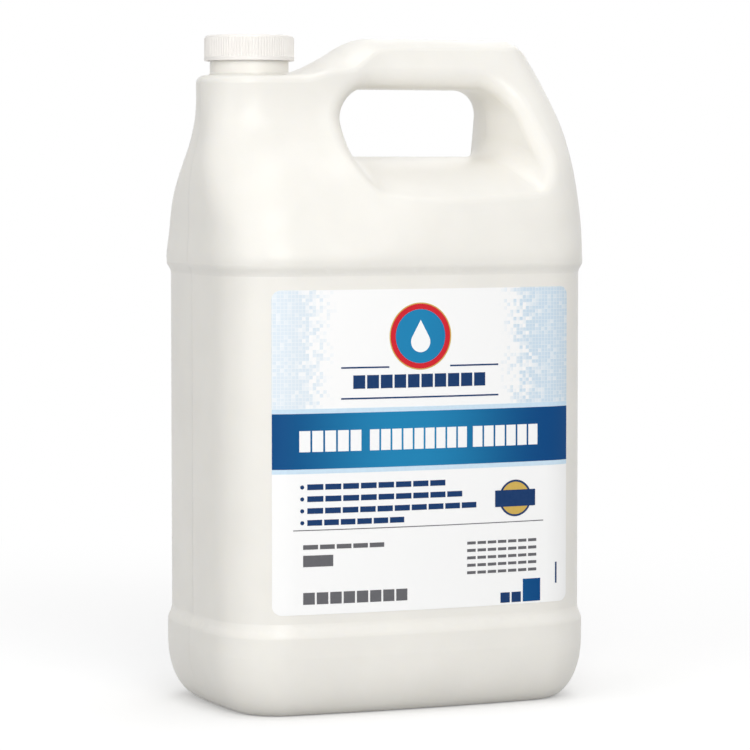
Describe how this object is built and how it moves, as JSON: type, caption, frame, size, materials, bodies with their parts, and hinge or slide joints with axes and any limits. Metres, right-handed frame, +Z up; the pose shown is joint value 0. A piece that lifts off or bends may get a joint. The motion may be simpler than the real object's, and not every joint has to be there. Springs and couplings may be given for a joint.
{
  "type": "bleach bottle",
  "caption": "Hollow moulded bottle with a through handle, a threaded neck, a ribbed screw cap with a seal, and printed labels on its recessed panel.",
  "frame": {"origin": "middle of the base outline, on the surface the bottle stands on", "axes": "+Z up through the neck, +X from the neck towards the rear leg of the handle, -Y out of the front label"},
  "size_m": [0.1804, 0.1184, 0.2993],
  "materials": {
    "bottle_plastic": "satin white polyethylene",
    "cap_plastic": "semi-gloss white",
    "liner_foam": "matt foam",
    "label_film": "smooth film",
    "blue_ink": "printed",
    "pale_ink": "printed",
    "navy_ink": "printed",
    "red_ink": "printed",
    "gold_ink": "printed",
    "grey_ink": "printed",
    "white_ink": "printed"
  },
  "bodies": {
    "bottle": {"bottle": "bottle_plastic", "front_label": "label_film", "back_label": "label_film", "blue_print": "blue_ink", "pale_print": "pale_ink", "navy_print": "navy_ink", "red_print": "red_ink", "gold_print": "gold_ink", "grey_print": "grey_ink", "white_print": "white_ink"},
    "seal": {"cap_liner": "liner_foam"},
    "cap": {"cap": "cap_plastic"}
  },
  "joints": [
    {"name": "cap_lift", "type": "slide", "parent": "bottle", "child": "seal", "axis": [0, 0, 1], "range_m": [0, 0.01016]},
    {"name": "cap_turn", "type": "hinge", "parent": "seal", "child": "cap", "pos_m": [-0.06075, 0, 0.29], "axis": [0, 0, 1], "range_deg": [0, 864]}
  ],
  "couplings": [
    {"joint": "cap_lift", "follows": "cap_turn", "m_per_rad": 0.00067371}
  ]
}
